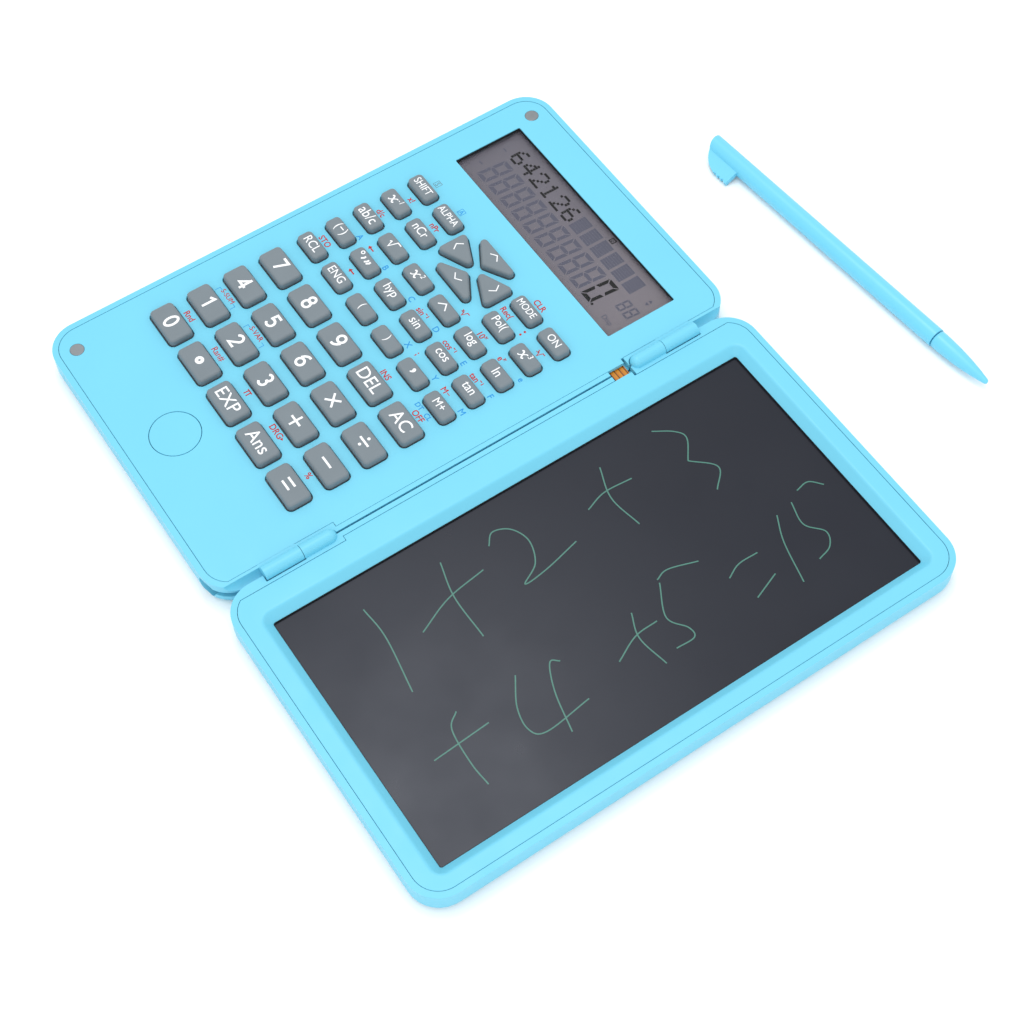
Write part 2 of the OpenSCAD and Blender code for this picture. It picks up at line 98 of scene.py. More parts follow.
class Shader:
    """A Principled material with procedural colour, roughness and bump."""

    def __init__(self, name, rgb, roughness, **sockets):
        self.mat = bpy.data.materials.new(name)
        self.mat.use_nodes = True
        self.tree = self.mat.node_tree
        self.bsdf = self.tree.nodes["Principled BSDF"]
        self.rgb = linear(rgb)
        self.bsdf.inputs["Roughness"].default_value = roughness
        for key, value in sockets.items():
            self.bsdf.inputs[key.replace("_", " ")].default_value = value
        self.coords = self.tree.nodes.new("ShaderNodeTexCoord").outputs["Object"]
        self.bumps = []

    def link(self, a, b):
        self.tree.links.new(a, b)

    def math(self, operation, a, b=None):
        node = self.tree.nodes.new("ShaderNodeMath")
        node.operation = operation
        for socket, value in zip(node.inputs, (a, b)):
            if value is None:
                continue
            if isinstance(value, (int, float)):
                socket.default_value = value
            else:
                self.link(value, socket)
        return node.outputs[0]

    def axis(self, index):
        split = self.tree.nodes.new("ShaderNodeSeparateXYZ")
        self.link(self.coords, split.inputs[0])
        return split.outputs[index]

    def noise(self, size, detail=3, stretch=(1, 1, 1)):
        """Noise whose blotches are about `size` millimetres across."""
        mapping = self.tree.nodes.new("ShaderNodeMapping")
        mapping.inputs["Scale"].default_value = [s / (size * MM) for s in stretch]
        self.link(self.coords, mapping.inputs["Vector"])
        node = self.tree.nodes.new("ShaderNodeTexNoise")
        node.inputs["Scale"].default_value = 1
        node.inputs["Detail"].default_value = detail
        self.link(mapping.outputs[0], node.inputs["Vector"])
        return node.outputs["Fac"]

    def ramp(self, fac, stops):
        node = self.tree.nodes.new("ShaderNodeValToRGB")
        node.color_ramp.elements[0].position = stops[0][0]
        node.color_ramp.elements[1].position = stops[-1][0]
        for place, rgb in stops[1:-1]:
            node.color_ramp.elements.new(place)
        for element, (place, rgb) in zip(node.color_ramp.elements, stops):
            element.color = [*rgb, 1]
        self.link(fac, node.inputs["Fac"])
        return node.outputs["Color"]

    def tint(self, fac, spread):
        """Colour that varies by `spread` either way around the base colour."""
        dark = [c * (1 - spread) for c in self.rgb]
        light = [min(1, c * (1 + spread)) for c in self.rgb]
        self.link(self.ramp(fac, [(0.3, dark), (0.7, light)]), self.bsdf.inputs["Base Color"])
        return self

    def rough(self, fac, low, high):
        """Roughness that varies between `low` and `high`."""
        node = self.tree.nodes.new("ShaderNodeMapRange")
        node.inputs["From Min"].default_value = 0.3
        node.inputs["From Max"].default_value = 0.7
        node.inputs["To Min"].default_value = low
        node.inputs["To Max"].default_value = high
        self.link(fac, node.inputs["Value"])
        self.link(node.outputs[0], self.bsdf.inputs["Roughness"])
        return self

    def bump(self, fac, depth, strength=0.5):
        """Surface relief, `depth` millimetres deep; calls stack up."""
        node = self.tree.nodes.new("ShaderNodeBump")
        node.inputs["Strength"].default_value = strength
        node.inputs["Distance"].default_value = depth * MM
        self.link(fac, node.inputs["Height"])
        if self.bumps:
            self.link(self.bumps[-1].outputs[0], node.inputs["Normal"])
        self.bumps.append(node)
        self.link(node.outputs[0], self.bsdf.inputs["Normal"])
        return self


def moulded(name, rgb, roughness, grain=0.12, depth=0.004, spread=0.012):
    """Satin injection-moulded plastic with a fine spark texture and a faint flow unevenness."""
    s = Shader(name, rgb, roughness)
    s.tint(s.noise(22), spread)
    s.rough(s.noise(9, 4), roughness - 0.04, roughness + 0.05)
    s.bump(s.noise(grain, 2), depth)
    s.bump(s.noise(14, 1), 0.01, 0.3)
    return s.mat


def printed(name, rgb, roughness=0.55, **sockets):
    """Screen-printed ink: a matt film with slightly uneven cover."""
    s = Shader(name, rgb, roughness, **sockets)
    s.tint(s.noise(0.6), 0.05)
    s.rough(s.noise(0.4), roughness - 0.05, roughness + 0.08)
    s.bump(s.noise(0.15, 2), 0.002)
    return s.mat


def metal(name, rgb, roughness, brush=(1, 1, 1)):
    s = Shader(name, rgb, roughness, Metallic=1.0)
    s.tint(s.noise(3), 0.05)
    s.rough(s.noise(0.5, 4, brush), roughness - 0.08, roughness + 0.1)
    s.bump(s.noise(0.2, 3, brush), 0.003)
    return s.mat


blue = moulded("shell_blue", (106, 195, 222), 0.42)
blue_satin = moulded("stylus_blue", (107, 198, 227), 0.36, grain=0.3, depth=0.002)


def silicone():
    """Soft grey silicone: matt, very finely grained, a touch lighter where it is rubbed."""
    s = Shader("key_silicone", (110, 121, 128), 0.62, Sheen_Weight=0.08, Sheen_Roughness=0.5)
    s.tint(s.noise(5), 0.03)
    s.rough(s.noise(2.5, 4), 0.56, 0.68)
    s.bump(s.noise(0.18, 3), 0.004)
    return s.mat


def liquid_crystal():
    """Reflective display cell: grey-mauve with a painted reflection, lighter and warmer towards the hinge and
    darker towards the far end, faintly cloudy, finely grained.
    """
    s = Shader("display_cell", (82, 78, 86), 0.35, Specular_IOR_Level=0.4)
    low, high = span("display_panel")
    # Painted reflection: a gradient along the cell from its hinge end to its far end, broken up by a faint
    # random cloud.
    along = s.math("DIVIDE", s.math("SUBTRACT", s.axis(1), low.y * MM), (high.y - low.y) * MM)
    cloud_and_painted_reflection = s.math("ADD", along, s.math("MULTIPLY", s.math("SUBTRACT", s.noise(18), 0.5), 0.3))
    stops = [(0.0, linear((106, 101, 108))), (0.5, linear((95, 91, 101))), (1.0, linear((88, 86, 97)))]
    s.link(s.ramp(cloud_and_painted_reflection, stops), s.bsdf.inputs["Base Color"])
    s.rough(s.noise(6), 0.3, 0.4)
    s.bump(s.noise(0.25, 1, (1, 4, 1)), 0.002, 0.3)
    return s.mat


def clear_acrylic():
    s = Shader("clear_acrylic", (250, 252, 255), 0.06, Alpha=0.02, IOR=1.49)
    s.rough(s.noise(8), 0.04, 0.09)
    s.bump(s.noise(20, 1), 0.01, 0.2)
    return s.mat


def writing_film():
    """Slate film over the writing panel: slightly glossy, faintly blotched, with a fine matt tooth."""
    s = Shader("writing_film", (12, 15, 26), 0.3, Specular_IOR_Level=0.38, Specular_Tint=(0.86, 0.9, 1, 1))
    s.tint(s.noise(45, 2), 0.04)
    s.rough(s.noise(25), 0.27, 0.34)
    s.bump(s.noise(0.12, 2), 0.0015, 0.4)
    return s.mat


TRACK_PITCH = 1.4


def polyimide():
    """Amber film over bright copper tracks that run across the hinge."""
    s = Shader("ribbon_film", (190, 110, 14), 0.28)
    low, high = span("flex_ribbon")
    along = s.math("MULTIPLY", s.math("SUBTRACT", s.axis(0), low.x * MM), 1 / (TRACK_PITCH * MM))
    track = s.math("FRACT", along)
    stops = [(0.05, linear((90, 44, 6))), (0.16, linear((196, 116, 10))),
             (0.84, linear((210, 134, 22))), (0.95, linear((90, 44, 6)))]
    s.link(s.ramp(track, stops), s.bsdf.inputs["Base Color"])
    s.rough(s.noise(1), 0.22, 0.34)
    s.bump(track, 0.02, 0.4)
    return s.mat


def solder_mask():
    s = Shader("solder_mask", (20, 92, 52), 0.3)
    s.tint(s.noise(1.6, 1, (1, 6, 1)), 0.18)
    s.rough(s.noise(3), 0.24, 0.38)
    s.bump(s.noise(1.6, 1, (1, 6, 1)), 0.02, 0.3)
    return s.mat


silicone_grey = silicone()
mat_dark = moulded("keypad_silicone", (60, 62, 66), 0.7, spread=0.03)
# Near-black lining for the display and writing-panel openings: painted shade on their walls, and for the
# writing panel also its own black border.
border_and_shade_black = moulded("border_and_painted_shade", (10, 20, 24), 0.8, grain=0.3, spread=0.1)
mask_green = solder_mask()
epoxy = moulded("potting_epoxy", (16, 16, 17), 0.22, grain=0.6, depth=0.01, spread=0.08)
cell_mauve_painted_reflection = liquid_crystal()
acrylic = clear_acrylic()
nickel = metal("nickel_plate", (176, 176, 178), 0.25)
magnet_grey = metal("magnet_plate", (134, 139, 143), 0.38)
spring_brass = metal("contact_brass", (205, 170, 105), 0.26, (1, 8, 1))
amber = polyimide()
slate = writing_film()
white_ink = printed("white_ink", (236, 238, 240))
red_ink = printed("red_ink", (178, 30, 30))
blue_ink = printed("blue_ink", (4, 138, 208))
grey_ink = printed("grey_ink", (92, 128, 142))
lit_segment = printed("lit_segment", (8, 8, 10), 0.5, Specular_IOR_Level=0.1)
rest_segment = printed("rest_segment", (74, 76, 92), 0.4, Specular_IOR_Level=0.2)
written_line = printed("written_line", (60, 116, 104), 0.4)

finishes = {
    "shell": blue, "key_rubber": silicone_grey, "mat_rubber": mat_dark, "circuit_board": mask_green,
    "chip_epoxy": epoxy, "display_cell": cell_mauve_painted_reflection, "clear_window": acrylic, "steel": nickel,
    "magnet": magnet_grey, "contact_metal": spring_brass, "ribbon_film": amber, "writing_film": slate,
}
for part in frame["record"]["subparts"]:
    mesh = nodes[part["node"]].data
    mesh.materials.clear()
    mesh.materials.append(finishes[part["material_slot"]])
for name in ("stylus_barrel", "stylus_tip"):
    nodes[name].data.materials[0] = blue_satin


# ---------------------------------------------------------------- mesh helpers


SHARP = 35  # degrees between faces that keep a hard edge
WELD = 0.002  # vertices of a CAD node nearer than this become one


def arc(cx, cy, r, a0, a1, n):
    """Points on a circle from a0 to a1 degrees."""
    return [(cx + r * math.cos(math.radians(a0 + (a1 - a0) * i / n)),
             cy + r * math.sin(math.radians(a0 + (a1 - a0) * i / n))) for i in range(n + 1)]


def circle(cx, cy, r, n=48):
    return arc(cx, cy, r, 0, 360 - 360 / n, n - 1)


def swollen(core, r, n=6):
    """Outline at distance r around a convex core whose points run anticlockwise."""
    points = []
    count = len(core)
    for i, (x, y) in enumerate(core):
        before, after = core[i - 1], core[(i + 1) % count]
        a0 = math.degrees(math.atan2(before[0] - x, y - before[1]))
        a1 = math.degrees(math.atan2(x - after[0], after[1] - y))
        while a1 < a0:
            a1 += 360
        points += arc(x, y, r, a0, a1, n)
    return points


def rectangle_core(cx, cy, w, h, r):
    """Corner centres of a w by h rectangle with corner radius r."""
    dx, dy = w / 2 - r, h / 2 - r
    return [(cx + sx * dx, cy + sy * dy) for sx, sy in ((-1, -1), (1, -1), (1, 1), (-1, 1))]


def rounded_box(cx, cy, w, h, r, n=6):
    return swollen(rectangle_core(cx, cy, w, h, r), r, n)


class Solid:
    """A mesh in the making, in millimetres."""

    def __init__(self):
        self.bm = bmesh.new()

    def ring(self, outline, z):
        return [self.bm.verts.new((x, y, z)) for x, y in outline]

    def skin(self, rings):
        """Quads between rings of equal length."""
        for low, high in zip(rings, rings[1:]):
            for i in range(len(low)):
                j = (i + 1) % len(low)
                self.bm.faces.new((low[i], low[j], high[j], high[i]))

    def loft(self, levels):
        """A closed solid through (outline, z) levels, capped at both ends."""
        rings = [self.ring(outline, z) for outline, z in levels]
        self.skin(rings)
        self.bm.faces.new(rings[0][::-1])
        self.bm.faces.new(rings[-1])

    def fill(self, rings):
        """Flat faces between an outer ring and the rings of its holes."""
        edges = []
        for ring in rings:
            for i in range(len(ring)):
                a, b = ring[i - 1], ring[i]
                edges.append(self.bm.edges.get((a, b)) or self.bm.edges.new((a, b)))
        bmesh.ops.triangle_fill(self.bm, use_beauty=True, use_dissolve=False, edges=edges)

    def save(self, name, body, finish, slot, replaces=(), weighted=True):
        """Makes the object, rides it on its body and hides the CAD nodes it stands for."""
        bmesh.ops.recalc_face_normals(self.bm, faces=self.bm.faces[:])
        self.bm.transform(Matrix.Scale(MM, 4))
        mesh = bpy.data.meshes.new(name)
        self.bm.to_mesh(mesh)
        self.bm.free()
        return place(name, mesh, body, finish, slot, replaces, weighted)


def place(name, mesh, body, finish, slot, replaces=(), weighted=True):
    """Puts a mesh in the scene as a piece with its finish and body."""
    mesh.materials.clear()
    mesh.materials.append(finish)
    mesh.shade_smooth()
    mesh.set_sharp_from_angle(angle=math.radians(SHARP))
    piece = bpy.data.objects.new(name, mesh)
    scene.collection.objects.link(piece)
    if weighted:
        normals = piece.modifiers.new("weighted", "WEIGHTED_NORMAL")
        normals.keep_sharp = True
    if body:
        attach(piece, body)
    if replaces:
        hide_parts(*replaces)
    return piece


def soften(node, width, segments=2, angle=32):
    """Welds a CAD node's facets and rounds its edges."""
    piece = nodes[node]
    weld = piece.modifiers.new("weld", "WELD")
    weld.merge_threshold = WELD * MM
    flat = piece.modifiers.new("flat", "DECIMATE")
    flat.decimate_type = "DISSOLVE"
    flat.angle_limit = math.radians(1)
    bevel = piece.modifiers.new("edges", "BEVEL")
    bevel.width = width * MM
    bevel.segments = segments
    bevel.limit_method = "ANGLE"
    bevel.angle_limit = math.radians(angle)
    bevel.use_clamp_overlap = True
    bevel.harden_normals = False
    bevel.miter_outer = "MITER_ARC"
    normals = piece.modifiers.new("weighted", "WEIGHTED_NORMAL")
    normals.keep_sharp = True


# ---------------------------------------------------------------- plates


HINGE = middle("flex_ribbon").y
HALF_GAP = 0.3  # from the hinge line to the edge of either half
EDGE = (span("calculator_case")[1].y - HINGE - HALF_GAP) / 2  # from the middle of a half to its edge
CALC_Y = span("calculator_case")[1].y - EDGE
TABLET_Y = 2 * HINGE - CALC_Y
FACE_TOP = span("calculator_face")[1].z
FACE_T = 1.2
BEZEL_T = 2.5
CROWN = 0.18  # rounding of a plate's upper edges
ZONE = 45.7  # half the length of the plate's edge between the knuckles
RIM = 1.8  # the case's rim beside a plate
HINGE_RIM = 3.0
CENTRE_RIM = 1.5
PLATE_CORNER = 7.2


def plate_outline(node, grow):
    """Outline of a half's face plate. Its hinge edge steps in beside the knuckles."""
    x = span(node)[1].x + grow
    side = 1 if node == "calculator_face" else -1
    cy = CALC_Y if side == 1 else TABLET_Y
    near = -EDGE + HINGE_RIM - grow
    centre = -EDGE + CENTRE_RIM - grow
    top = EDGE - RIM + grow
    r = PLATE_CORNER + grow
    cut = math.degrees(math.asin((near + top - r) / r))
    right = arc(x - r, -top + r, r, cut, 0, 6)
    points = [(-ZONE - grow, centre), (ZONE + grow, centre), (ZONE + grow, near)]
    points += right
    points += arc(x - r, top - r, r, 0, 90, 10) + arc(-x + r, top - r, r, 90, 180, 10)
    points += [(-px, py) for px, py in right[::-1]]
    points += [(-ZONE - grow, near)]
    return [(px, cy + side * py) for px, py in (points if side == 1 else points[::-1])]


def face_walls(solid, holes):
    """The face plate's softened walls, inside and out. Each hole is a function of how far it grows."""
    levels = [(0, FACE_TOP - FACE_T), (0, FACE_TOP - CROWN),
              (0.3 * CROWN, FACE_TOP - 0.3 * CROWN), (CROWN, FACE_TOP)]
    outer = [solid.ring(plate_outline("calculator_face", -inset), z) for inset, z in levels]
    solid.skin(outer)
    bottoms, tops = [outer[0]], [outer[-1]]
    for hole in holes:
        rings = [solid.ring(hole(inset), z) for inset, z in levels]
        solid.skin(rings)
        bottoms.append(rings[0])
        tops.append(rings[-1])
    return bottoms, tops


WRITING = (146.3, 78.2)
DISPLAY = (22.4, 76.8)
LARGE = (7.1, 12.9)
SMALL = (4.8, 10.0)
KEY_CORNER = 1.3
GAP = 0.42
FLANGE = 0.6
ARROW = {"corner": 1.2, "near": 2.4, "far": (8.5, 12.3), "half": (7.5, 4.5), "flange": 0.4}
ARROWS = {"key_left": (0, 1), "key_right": (0, -1), "key_up": (1, 0), "key_down": (-1, 0)}
CROSS = (middle("key_left").x, middle("key_up").y)
ERASE_HOLE = 7.15
MAGNET_R = 2
MAGNET_HOLE = 2.02

large_keys = {n: middle(n) for n in nodes if n.startswith("key_") and n not in ARROWS}
small_keys = {}
for n in nodes:
    if n.startswith("keys_"):
        c = middle(n)
        low, high = span(n)
        reach = (high.y - low.y - SMALL[1] - 2 * FLANGE) / 2
        small_keys[n] = [(c.x, c.y + reach), (c.x, c.y - reach)]


def arrow_core(direction):
    """Corner centres of an arrow key that points along `direction`."""
    dx, dy = direction
    far = ARROW["far"][1 if dx == 0 else 0] - ARROW["corner"]
    half = ARROW["half"][1 if dx == 0 else 0] - ARROW["corner"]
    near = ARROW["near"] + ARROW["corner"]
    local = [(far, -half), (far, half), (near, 0)]
    return [(CROSS[0] + a * dx - b * dy, CROSS[1] + a * dy + b * dx) for a, b in local]


def build_face():
    """The calculator's face plate, with a softened opening around every key."""
    solid = Solid()
    holes = []
    for c in large_keys.values():
        holes.append(lambda g, c=c: rounded_box(c.x, c.y, LARGE[0] + 2 * (GAP + g), LARGE[1] + 2 * (GAP + g),
                                                KEY_CORNER + GAP + g))
    for pair in small_keys.values():
        for x, y in pair:
            holes.append(lambda g, x=x, y=y: rounded_box(x, y, SMALL[0] + 2 * (GAP + g),
                                                         SMALL[1] + 2 * (GAP + g), KEY_CORNER + GAP + g))
    for d in ARROWS.values():
        holes.append(lambda g, d=d: swollen(arrow_core(d), ARROW["corner"] + GAP + g, 8))
    d = middle("display_window")
    holes.append(lambda g: rounded_box(d.x, d.y, DISPLAY[0] + 2 * g, DISPLAY[1] + 2 * g, 0.35 + g, 4))
    e = middle("erase_button")
    holes.append(lambda g: circle(e.x, e.y, ERASE_HOLE + 0.5 * g, 96))
    m = span("face_magnets")[1]
    for s in (-1, 1):
        holes.append(lambda g, s=s: circle(s * (m.x - MAGNET_R), m.y - MAGNET_R, MAGNET_HOLE + 0.5 * g, 40))
    bottoms, tops = face_walls(solid, holes)
    solid.fill(tops)
    solid.fill(bottoms)
    solid.save("face_plate", "calculator_half", blue, "shell", ["calculator_face"])


def build_bezel():
    """The tablet's bezel: a sloped frame around the writing panel, with rounded corners."""
    solid = Solid()
    p = middle("writing_panel")
    z1 = span("tablet_bezel")[1].z
    z0 = z1 - BEZEL_T
    outer = [solid.ring(plate_outline("tablet_bezel", -inset), z)
             for inset, z in [(0, z0), (0, z1 - CROWN), (0.05, z1 - 0.05), (CROWN, z1)]]
    slope = [(0, 0.7, z0), (0.04, 0.72, z0 + 0.15), (0.4, 1.0, z0 + 0.5), (1.95, 2.6, z1 - 0.5),
             (2.4, 3.2, z1 - 0.15), (2.75, 3.5, z1 - 0.03), (3.1, 3.8, z1)]
    inner = [solid.ring(rounded_box(p.x, p.y, WRITING[0] + 2 * g, WRITING[1] + 2 * g, r, 8), z)
             for g, r, z in slope]
    solid.skin(outer)
    solid.skin(inner)
    solid.fill([outer[0], inner[0]])
    solid.fill([outer[-1], inner[-1]])
    solid.save("bezel_frame", "tablet_half", blue, "shell", ["tablet_bezel"])


def border_and_shade_liner(name, body, node, size, corner, z0, z1):
    """Dark strip lining the walls of an opening, between a window or panel and the plate above it: painted
    shade on walls that lie in the plate's shadow, and around the writing panel also the film's own black
    border.
    """
    solid = Solid()
    c = middle(node)
    rings = []
    for g in (-0.1, 0.15):
        outline = rounded_box(c.x, c.y, size[0] + 2 * g, size[1] + 2 * g, corner, 6)
        rings.append([solid.ring(outline, z0), solid.ring(outline, z1)])
        solid.skin(rings[-1])
    for level in (0, 1):
        solid.fill([rings[0][level], rings[1][level]])
    solid.save(name, body, border_and_shade_black, "mat_rubber", weighted=False)


build_face()
build_bezel()
# Around the display: a dark lining that stands for the shade on the opening's walls, painted shade.
border_and_shade_liner("display_painted_shade_liner", "calculator_half", "display_window", DISPLAY, 0.3,
       span("display_window")[1].z, FACE_TOP - 0.28)
# Around the writing panel: the film's black border, with painted shade where its far walls lie in shadow.
border_and_shade_liner("panel_border_and_shade_liner", "tablet_half", "writing_panel", WRITING, 0.6,
       span("writing_panel")[1].z, span("tablet_bezel")[1].z - 2.38)


# ---------------------------------------------------------------- keys


FLANGE_PLAY = 0.1  # below the face plate's underside
NECK = 0.12  # how far a key draws in above its flange
NECK_H = 0.8
KEY_ROUND = 0.85
ROUND_STEPS = 6


def key_levels(outline, node, flange, corner):
    """Key from its flange to a softly rounded, slightly dished top."""
    low, high = span(node)
    foot, top = low.z, high.z
    collar = FACE_TOP - FACE_T - FLANGE_PLAY
    levels = [(flange, foot), (flange, collar), (-NECK, collar), (-NECK, collar + NECK_H), (0, FACE_TOP)]
    for i in range(ROUND_STEPS + 1):
        a = math.radians(90 * i / ROUND_STEPS)
        levels.append((-KEY_ROUND * (1 - math.cos(a)), top - KEY_ROUND * (1 - math.sin(a))))
    levels.append((-corner + 0.08, top - 0.03))
    return [(outline(g), z) for g, z in levels]


def build_keys():
    for name, c in large_keys.items():
        solid = Solid()
        solid.loft(key_levels(lambda g: rounded_box(c.x, c.y, LARGE[0] + 2 * g, LARGE[1] + 2 * g,
                                                    KEY_CORNER + g, 8), name, FLANGE, KEY_CORNER))
        solid.save("cap_" + name, name, silicone_grey, "key_rubber", [name], weighted=False)
    for name, pair in small_keys.items():
        solid = Solid()
        for x, y in pair:
            solid.loft(key_levels(lambda g: rounded_box(x, y, SMALL[0] + 2 * g, SMALL[1] + 2 * g,
                                                        KEY_CORNER + g, 8), name, FLANGE, KEY_CORNER))
        solid.save("cap_" + name, name, silicone_grey, "key_rubber", [name], weighted=False)
    for name, direction in ARROWS.items():
        solid = Solid()
        solid.loft(key_levels(lambda g: swollen(arrow_core(direction), ARROW["corner"] + g, 10),
                              name, ARROW["flange"], ARROW["corner"]))
        solid.save("cap_" + name, name, silicone_grey, "key_rubber", [name], weighted=False)


build_keys()
KEY_TOP = span("key_5")[1].z


# ---------------------------------------------------------------- print


def curve_points(knots, steps=10):
    """Smooth path through the knots (Catmull-Rom)."""
    p = [Vector(k) for k in knots]
    p = [2 * p[0] - p[1]] + p + [2 * p[-1] - p[-2]]
    path = []
    for a, b, c, d in zip(p, p[1:], p[2:], p[3:]):
        for i in range(steps):
            t = i / steps
            path.append(0.5 * (2 * b + (c - a) * t + (2 * a - 5 * b + 4 * c - d) * t ** 2
                               + (3 * b - a - 3 * c + d) * t ** 3))
    path.append(p[-2])
    return path


LEGEND_STEP = 0.004  # marks that cross lie on levels this far apart, on the keys
POWER_STEP = 0.003  # and within a raised power
PRINT_STEP = 0.002  # and on the face and the writing panel


class Ink:
    """Printed marks on a level surface. Marks read along -Y, with their tops towards +X."""

    def __init__(self, z, thickness=0.02):
        self.bm = bmesh.new()
        self.z = z
        self.thickness = thickness

    def frame_point(self, at, u, v):
        return at[0] + v, at[1] - u

    def text(self, at, body, size, weight=0.0, slant=0.0, squeeze=1.0, shift=(0, 0)):
        """Text centred on `at`. An M is thickened by doubling it, because a wider outline spoils it."""
        if "M" in body and weight:
            for side in (-weight, weight):
                self.text(at, body, size, 0, slant, squeeze, (shift[0] + side, shift[1]))
                self.z += LEGEND_STEP
            return
        curve = bpy.data.curves.new("mark", "FONT")
        curve.body = body
        curve.size = size
        curve.offset = weight
        curve.shear = slant
        curve.resolution_u = 4
        curve.extrude = self.thickness / 2
        curve.fill_mode = "BOTH"
        carrier = bpy.data.objects.new("mark", curve)
        scene.collection.objects.link(carrier)
        mesh = bpy.data.meshes.new_from_object(carrier.evaluated_get(bpy.context.evaluated_depsgraph_get()))
        bpy.data.objects.remove(carrier)
        bpy.data.curves.remove(curve)
        us = [v.co.x for v in mesh.vertices]
        vs = [v.co.y for v in mesh.vertices]
        mid_u = (min(us) + max(us)) / 2
        mid_v = (min(vs) + max(vs)) / 2
        for vertex in mesh.vertices:
            u = (vertex.co.x - mid_u) * squeeze + shift[0]
            v = vertex.co.y - mid_v + shift[1]
            x, y = self.frame_point(at, u, v)
            vertex.co = (x, y, self.z + self.thickness / 2 + vertex.co.z)
        self.bm.from_mesh(mesh)
        bpy.data.meshes.remove(mesh)

    def area(self, at, outline):
        """A filled convex outline, given as (u, v) points."""
        points = [self.frame_point(at, u, v) for u, v in outline]
        low = [self.bm.verts.new((x, y, self.z)) for x, y in points]
        high = [self.bm.verts.new((x, y, self.z + self.thickness)) for x, y in points]
        self.bm.faces.new(low[::-1])
        self.bm.faces.new(high)
        for i in range(len(low)):
            j = (i + 1) % len(low)
            self.bm.faces.new((low[i], low[j], high[j], high[i]))

    def line(self, at, points, width, closed=False):
        """A stroke of even width through (u, v) points, with mitred bends."""
        flat = [Vector(p) for p in points]
        count = len(flat)
        left, right = [], []
        for i, p in enumerate(flat):
            back = flat[i] - flat[i - 1] if (closed or i > 0) else flat[i + 1] - flat[i]
            ahead = flat[(i + 1) % count] - flat[i] if (closed or i < count - 1) else back
            back, ahead = back.normalized(), ahead.normalized()
            normal = Vector((-(back.y + ahead.y), back.x + ahead.x))
            normal = normal.normalized() if normal.length > 1e-6 else Vector((-back.y, back.x))
            reach = width / 2 / max(0.5, normal.dot(Vector((-back.y, back.x))))
            left.append(self.frame_point(at, *(p + normal * reach)))
            right.append(self.frame_point(at, *(p - normal * reach)))
        low, high = self.z, self.z + self.thickness
        quads = [[self.bm.verts.new((*q, z)) for q, z in
                  ((a, low), (b, low), (b, high), (a, high))] for a, b in zip(left, right)]
        pairs = list(zip(quads, quads[1:])) + ([(quads[-1], quads[0])] if closed else [])
        for a, b in pairs:
            for k in range(4):
                m = (k + 1) % 4
                self.bm.faces.new((a[k], a[m], b[m], b[k]))
        if not closed:
            self.bm.faces.new(quads[0][::-1])
            self.bm.faces.new(quads[-1])

    def save(self, name, body, finish, slot):
        bmesh.ops.recalc_face_normals(self.bm, faces=self.bm.faces[:])
        self.bm.transform(Matrix.Scale(MM, 4))
        mesh = bpy.data.meshes.new(name)
        self.bm.to_mesh(mesh)
        self.bm.free()
        place(name, mesh, body, finish, slot, weighted=False)


CAP = 0.69  # a capital's height, as a share of the text size
LOOP = 24  # points of a digit's closed loop, other than an 8's
KEY_INK = (KEY_TOP - 0.02, 0.035)  # level and thickness of a legend, sunk a little into its key
KEY_SHIFT = 0.2  # legends sit this far towards +X on their keys
PRINT_LEVEL = FACE_TOP - 0.008


def chevron(ink, at, direction, depth, half, width):
    """Two strokes that meet in a point towards `direction`, in reading terms."""
    du, dv = direction
    tip = (du * depth * 0.5, dv * depth * 0.5)
    ends = [(tip[0] - du * depth - dv * half * s, tip[1] - dv * depth - du * half * s) for s in (-1, 1)]
    ink.line(at, [ends[0], tip, ends[1]], width)


def root(ink, at, size, width, shift=(0, 0)):
    """A square-root sign of about `size` millimetres across."""
    shape = [(-0.5, 0.02), (-0.36, 0.12), (-0.16, -0.4), (0.08, 0.42), (0.5, 0.42)]
    ink.line(at, [(shift[0] + size * u, shift[1] + size * v) for u, v in shape], width)


def power(ink, at, index):
    """A curled italic x with a raised index."""
    thick = [(-1.15, 0.65), (-0.78, 0.98), (-0.33, 0.6), (0.27, -0.6), (0.68, -0.96), (1.08, -0.62)]
    thin = [(1.18, 0.82), (0.72, 0.88), (-0.67, -0.88), (-1.18, -0.84)]
    for knots, width in ((thick, 0.44), (thin, 0.3)):
        ink.line((at[0] - 0.4, at[1] + 0.95), curve_points(knots, 4), width)
        ink.z += POWER_STEP
    ink.text(at, index, 2.2, 0, 0.15, shift=(1.05 if len(index) == 1 else 1.3, 0.85))


def digit_strokes(digit):
    """The centre lines of a bold digit, 4.5 mm tall over its stroke, as (u, v) points."""
    six = [(0.95, 1.85), (0.2, 1.8), (-0.6, 1.15), (-1.08, 0.2)]
    bowl = circle(0, -0.75, 1.1, LOOP)
    return {
        "0": [[(1.15 * c, 1.88 * s) for c, s in circle(0, 0, 1, LOOP)]],
        "1": [[(-0.95, 1.15), (0.25, 1.85), (0.25, -1.88)]],
        "2": [arc(-0.02, 0.82, 1.08, 165, -35, 10) + [(-1.05, -1.82), (1.2, -1.82)]],
        "3": [arc(-0.1, 0.93, 0.97, 145, -80, 10), arc(-0.1, -0.87, 1.05, 85, -145, 10)],
        "4": [[(0.45, -1.88), (0.45, 2.1)], [(0.6, 1.85), (-1.25, -0.75), (1.3, -0.75)]],
        "5": [[(1.05, 1.85), (-0.75, 1.85), (-0.85, 0.3)] + arc(-0.05, -0.72, 1.15, 118, -145, 10)],
        "6": [curve_points(six, 4), bowl],
        "7": [[(-1.15, 1.85), (1.15, 1.85), (-0.35, -1.88)]],
        "8": [circle(0, 0.95, 0.92, 20), circle(0, -0.87, 1.08, 20)],
        "9": [[(-p[0], -p[1]) for p in path] for path in (curve_points(six, 4), bowl)],
    }[digit]


